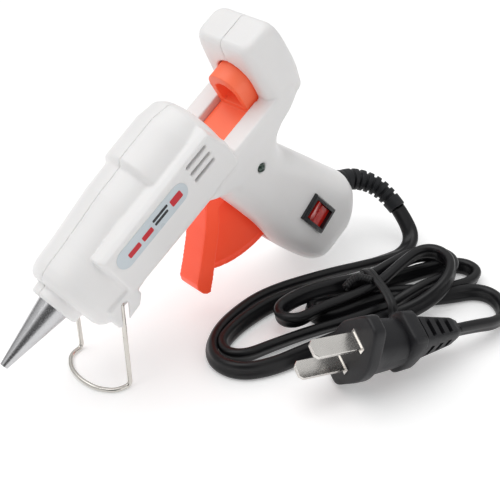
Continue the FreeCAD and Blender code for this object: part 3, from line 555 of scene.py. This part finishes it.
def tube_rings(line, radii, count=40):
    """Round rings along a line, carried without twist."""
    rings = []
    heading = tangents(line)
    level = heading[0].cross(Vector((0, 0, 1))).normalized()
    for centre, along, radius in zip(line, heading, radii):
        level = (level - along * level.dot(along)).normalized()
        up = level.cross(along)
        rings.append([centre + (level * math.cos(a) + up * math.sin(a)) * radius
                      for a in (2 * math.pi * j / count for j in range(count))])
    return rings


def resampled(line, count):
    """The same line with points evenly spaced."""
    travelled = [0.0]
    for a, b in zip(line, line[1:]):
        travelled.append(travelled[-1] + (b - a).length)
    result = []
    j = 0
    for i in range(count):
        goal = travelled[-1] * i / (count - 1)
        while j < len(line) - 2 and travelled[j + 1] < goal:
            j += 1
        share = (goal - travelled[j]) / max(travelled[j + 1] - travelled[j], 1e-9)
        result.append(line[j].lerp(line[j + 1], min(1.0, share)))
    return result


def make_relief():
    """A ribbed boot: slots between ribs on a tapering body, with a plain cuff at its end."""
    count = 260
    line = resampled(nurbs_line([Vector(p) * MM for p in RELIEF_ROUTE], 16), count)
    first, last = RIBBED
    radii = []
    for i in range(count):
        share = i / (count - 1)
        body = RELIEF_RADIUS - RELIEF_TAPER * share
        if first < share < last:
            phase = (share - first) / (last - first) * RELIEF_RIBS % 1.0
            groove = step_between(phase, 0.52, 0.6) - step_between(phase, 0.9, 0.98)
            body -= RIB_DEPTH * groove
        if share < ROOT_END:
            body = ROOT_RADIUS - ROOT_STEP * step_between(share, ROOT_END / 2, ROOT_END)
        radii.append(body * MM)
    rings = tube_rings(line, radii)
    first_ring = [line[0] + (p - line[0]) * 0.6 for p in rings[0]]
    last_ring = [line[-1] + (p - line[-1]) * 0.72 for p in rings[-1]]
    relief = lofted("ribbed_relief", [first_ring] + rings + [last_ring], "housing",
                    "relief_black")
    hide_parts("strain_relief")
    return relief


relief = make_relief()

# ---------------------------------------------------------------- plug
plug_mount = next(m for m in frame["record"]["mounts"] if m["name"] == "mains_plug")
PLUG_FACE = Vector(plug_mount["pos_m"])
PLUG_UP = Vector((0.15, -0.45, 0.87))
WINDOW_DEPTH = 0.34              # how deep the windows between the tail's ribs go
TAIL_RIBS = 4
TAIL_TAPER = 0.38                # how much smaller the tail ends, as a share
plug_back = (cord_line[-1] - PLUG_FACE).normalized()
plug_up = (PLUG_UP - plug_back * PLUG_UP.dot(plug_back)).normalized()
plug_side = plug_up.cross(plug_back)


def on_plug(x, y, z):
    return PLUG_FACE + (plug_back * x + plug_side * y + plug_up * z) * MM


def rounded_polygon(half_width, half_height, waist, count, corner):
    """A long hexagon softened towards an oval, as (y, z) points."""
    ring = []
    for i in range(count):
        turn = 2 * math.pi * i / count
        cy, cz = math.cos(turn), math.sin(turn)
        reach_side = half_width / max(abs(cy), 1e-6)
        slope = (half_width - waist) / (half_height - waist)
        reach_slant = (half_width + slope * waist) / (abs(cy) + slope * abs(cz) + 1e-9)
        reach_top = half_height / max(abs(cz), 1e-6)
        reaches = [reach_side, reach_slant, reach_top]
        soft = sum(r ** -corner for r in reaches) ** (-1 / corner)
        ring.append((soft * cy, soft * cz))
    return ring


def plug_ring(x, shape, scale=1.0):
    """A shape's outline x behind the plug's face."""
    return [on_plug(x, y * scale, z * scale) for y, z in shape]


def windowed_ring(x, shape, scale, depth):
    """A ring sunk by a share of depth in its four faces but not at its corners."""
    ring = []
    for y, z in shape:
        turn = math.atan2(z, y)
        sunk = 1 - depth * step_between(0.86 - abs(math.sin(2 * turn)), 0.0, 0.1)
        ring.append(on_plug(x, y * scale * sunk, z * scale * sunk))
    return ring


def make_plug():
    """Flange, round neck, square block and a ribbed tail, from the blades back."""
    count = 128
    flange = rounded_polygon(9.6, 16.0, 3.4, count, 18)
    neck = rounded_polygon(8.4, 8.8, 6.4, count, 5)
    block = rounded_polygon(8.2, 10.0, 6.0, count, 14)
    tail = rounded_polygon(6.2, 7.2, 4.8, count, 12)
    end = (cord_line[-1] - PLUG_FACE).length / MM
    rings = [plug_ring(0.0, flange, 0.93), plug_ring(0.15, flange, 0.97),
             plug_ring(0.6, flange, 0.995), plug_ring(1.2, flange), plug_ring(3.6, flange),
             plug_ring(4.3, flange, 0.985), plug_ring(4.7, flange, 0.95),
             plug_ring(4.8, neck, 1.04), plug_ring(5.6, neck, 1.0), plug_ring(8.0, neck, 0.98),
             plug_ring(13.0, neck, 0.95), plug_ring(17.4, neck, 0.9),
             plug_ring(17.8, block, 0.93), plug_ring(18.3, block, 0.98),
             plug_ring(22.8, block, 0.95), plug_ring(23.4, block, 0.9),
             plug_ring(23.5, tail, 1.02)]
    tail_start, tail_end = 23.8, end - 2.6
    pitch = (tail_end - tail_start) / TAIL_RIBS
    for i in range(TAIL_RIBS):
        x = tail_start + pitch * i
        for dx, sunk in ((0.0, 0.0), (0.06, WINDOW_DEPTH), (0.4, WINDOW_DEPTH), (0.46, 0.0),
                         (0.94, 0.0)):
            size = 1.0 - TAIL_TAPER * (i + dx) / TAIL_RIBS
            rings.append(windowed_ring(x + pitch * dx, tail, size, sunk))
    rings.append(plug_ring(tail_end + 0.3, tail, 0.6))
    rings.append(plug_ring(end - 0.2, tail, 0.46))
    rings.append(plug_ring(end, tail, 0.4))
    plug = lofted("plug_moulding", rings, "housing", "plug_black")
    sharpen(plug, 50)
    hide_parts("plug_body")
    return plug


plug = make_plug()
BLADE_PITCH = 12.7


def make_blade_collars():
    """A thin bright frame round the root of each blade."""
    collars = []
    for i, z in enumerate((-BLADE_PITCH / 2, BLADE_PITCH / 2)):
        rings = []
        for x, y_half, z_half in ((0.05, 3.9, 1.35), (-0.35, 3.9, 1.35), (-0.45, 3.75, 1.2),
                                  (-0.45, 3.3, 0.85)):
            corners = [(-y_half, -z_half), (y_half, -z_half), (y_half, z_half),
                       (-y_half, z_half)]
            rings.append([on_plug(x, y, z + dz) for y, dz in corners])
        collars.append(lofted(f"blade_collar_{i + 1}", rings, "housing", "blade_nickel"))
        sharpen(collars[-1])
    return collars


collars = make_blade_collars()
edge_bevel("plug_blades", 0.00025)

# ---------------------------------------------------------------- twist tie
TIE_MIDDLE = Vector((50.2, -43.4, 0)) * MM
TIE_ACROSS = Vector((-8.0, -17.0, 0)).normalized()
TIE_ALONG = Vector((17.0, -8.0, 0)).normalized()
TIE_TURNS = 2
TIE_REACH = 12.8                 # from the bundle's middle to the tie at its sides
TIE_CENTRE = 5.6                 # the height of the bundle's middle
TIE_RISE = 6.0                   # and from there to the top of the tie
TIE_DRIFT = 3.0                  # how far the turns move along the bundle
TIE_HALF = (1.05, 0.5)           # half its width and half its thickness
TWIST = 0.28                     # the turn of the ends from point to point
END_RADIUS = 0.8


def make_tie():
    """Two turns of flat coated wire round the bundle and a twisted pair of ends on top."""
    points = []
    steps = 40
    for i in range(TIE_TURNS * steps + 1):
        turn = 2 * math.pi * i / steps
        across = TIE_REACH * filled_out(math.cos(turn), 0.7)
        rise = TIE_CENTRE + TIE_RISE * filled_out(math.sin(turn), 0.7)
        drift = TIE_DRIFT * (i / (TIE_TURNS * steps) - 0.5)
        points.append(TIE_MIDDLE + (TIE_ACROSS * across + TIE_ALONG * drift) * MM
                      + Vector((0, 0, max(0.75, rise) * MM)))
    line = resampled(points, 220)
    heading = tangents(line)
    rings = []
    for centre, along in zip(line, heading):
        flat = (TIE_ALONG - along * TIE_ALONG.dot(along)).normalized()
        thick = flat.cross(along)
        rings.append([centre + flat * (TIE_HALF[0] * MM * math.cos(a))
                      + thick * (TIE_HALF[1] * MM * math.sin(a))
                      for a in (2 * math.pi * j / 14 for j in range(14))])
    wrap = lofted("tie_wrap", rings, "housing", "tie_black")
    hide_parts("twist_tie")
    ends = []
    start = TIE_MIDDLE + Vector((-1.0, 3.0, 11.4)) * MM
    route = nurbs_line([start, start + Vector((-2.6, 3, 1.4)) * MM,
                        start + Vector((-5.6, 4.6, 0.8)) * MM,
                        start + Vector((-8.6, 4.8, -1.4)) * MM], 30)
    for k in range(2):
        pair = []
        guide = resampled(route, 120)
        aim = tangents(guide)
        for i, (centre, along) in enumerate(zip(guide, aim)):
            level = along.cross(Vector((0, 0, 1))).normalized()
            up = level.cross(along)
            a = math.pi * k + i * TWIST
            pair.append(centre + (level * math.cos(a) + up * math.sin(a)) * 0.75 * MM)
        ends.append(lofted(f"tie_end_{k + 1}", tube_rings(pair, [END_RADIUS * MM] * len(pair), 12),
                           "housing", "tie_black"))
    return [wrap] + ends


tie = make_tie()

# ---------------------------------------------------------------- housing and feed
VOXEL = 0.00042
for node, piece_name in (("housing_left", "shell_left"), ("housing_right", "shell_right")):
    softened(node, piece_name, VOXEL, 5)
softened("trigger", "trigger_moulding", 0.00036, 4)
softened("feed_carriage", "carriage_moulding", 0.0003, 3)
softened("stick_inlet", "inlet_moulding", 0.0003, 2)
for node, width in (("switch_body", 0.00025), ("switch_rocker", 0.0004)):
    edge_bevel(node, width)

# ---------------------------------------------------------------- label print
LABEL_FACE = 15.8                # half the width across the side panels
LABEL_HEIGHT = 5.2               # the middle of the label above the barrel's axis
PRINT_RISE = 0.05
BAR_CORNER = 0.45


def rounded_bar(x0, x1, z0, z1, radius, steps=5):
    """The outline of a bar with round corners, as (x, z) points."""
    outline = []
    for cx, cz, start in ((x1 - radius, z1 - radius, 0), (x0 + radius, z1 - radius, 90),
                          (x0 + radius, z0 + radius, 180), (x1 - radius, z0 + radius, 270)):
        for i in range(steps + 1):
            turn = math.radians(start + 90 * i / steps)
            outline.append((cx + radius * math.cos(turn), cz + radius * math.sin(turn)))
    return outline


def print_bar(name, x0, x1, z0, z1, look):
    """A bar of plain print on the label, in place of lettering."""
    outline = rounded_bar(x0, x1, LABEL_HEIGHT + z0, LABEL_HEIGHT + z1,
                          min(BAR_CORNER, (z1 - z0) * 0.4))
    rings = [[at(x, -LABEL_FACE - rise, z) for x, z in outline]
             for rise in (-PRINT_RISE, PRINT_RISE)]
    bar = lofted(name, rings, "housing", "label_grey")
    sharpen(bar)
    return finish_with(bar, look)


def make_label_print():
    """A broken red bar, two short dark ones and a red block, from front to rear."""
    for i, (x0, x1) in enumerate(((47.4, 52.6), (53.8, 58.4))):
        print_bar(f"label_bar_{i + 1}", x0, x1, -1.5, 0.5, "print_red")
    for i, (z0, z1) in enumerate(((0.6, 1.6), (-1.0, 0.0))):
        print_bar(f"label_line_{i + 1}", 59.6, 66.4 - 0.8 * i, z0, z1, "print_dark")
    print_bar("label_block", 67.4, 72.2, -1.6, 1.2, "print_red")


make_label_print()
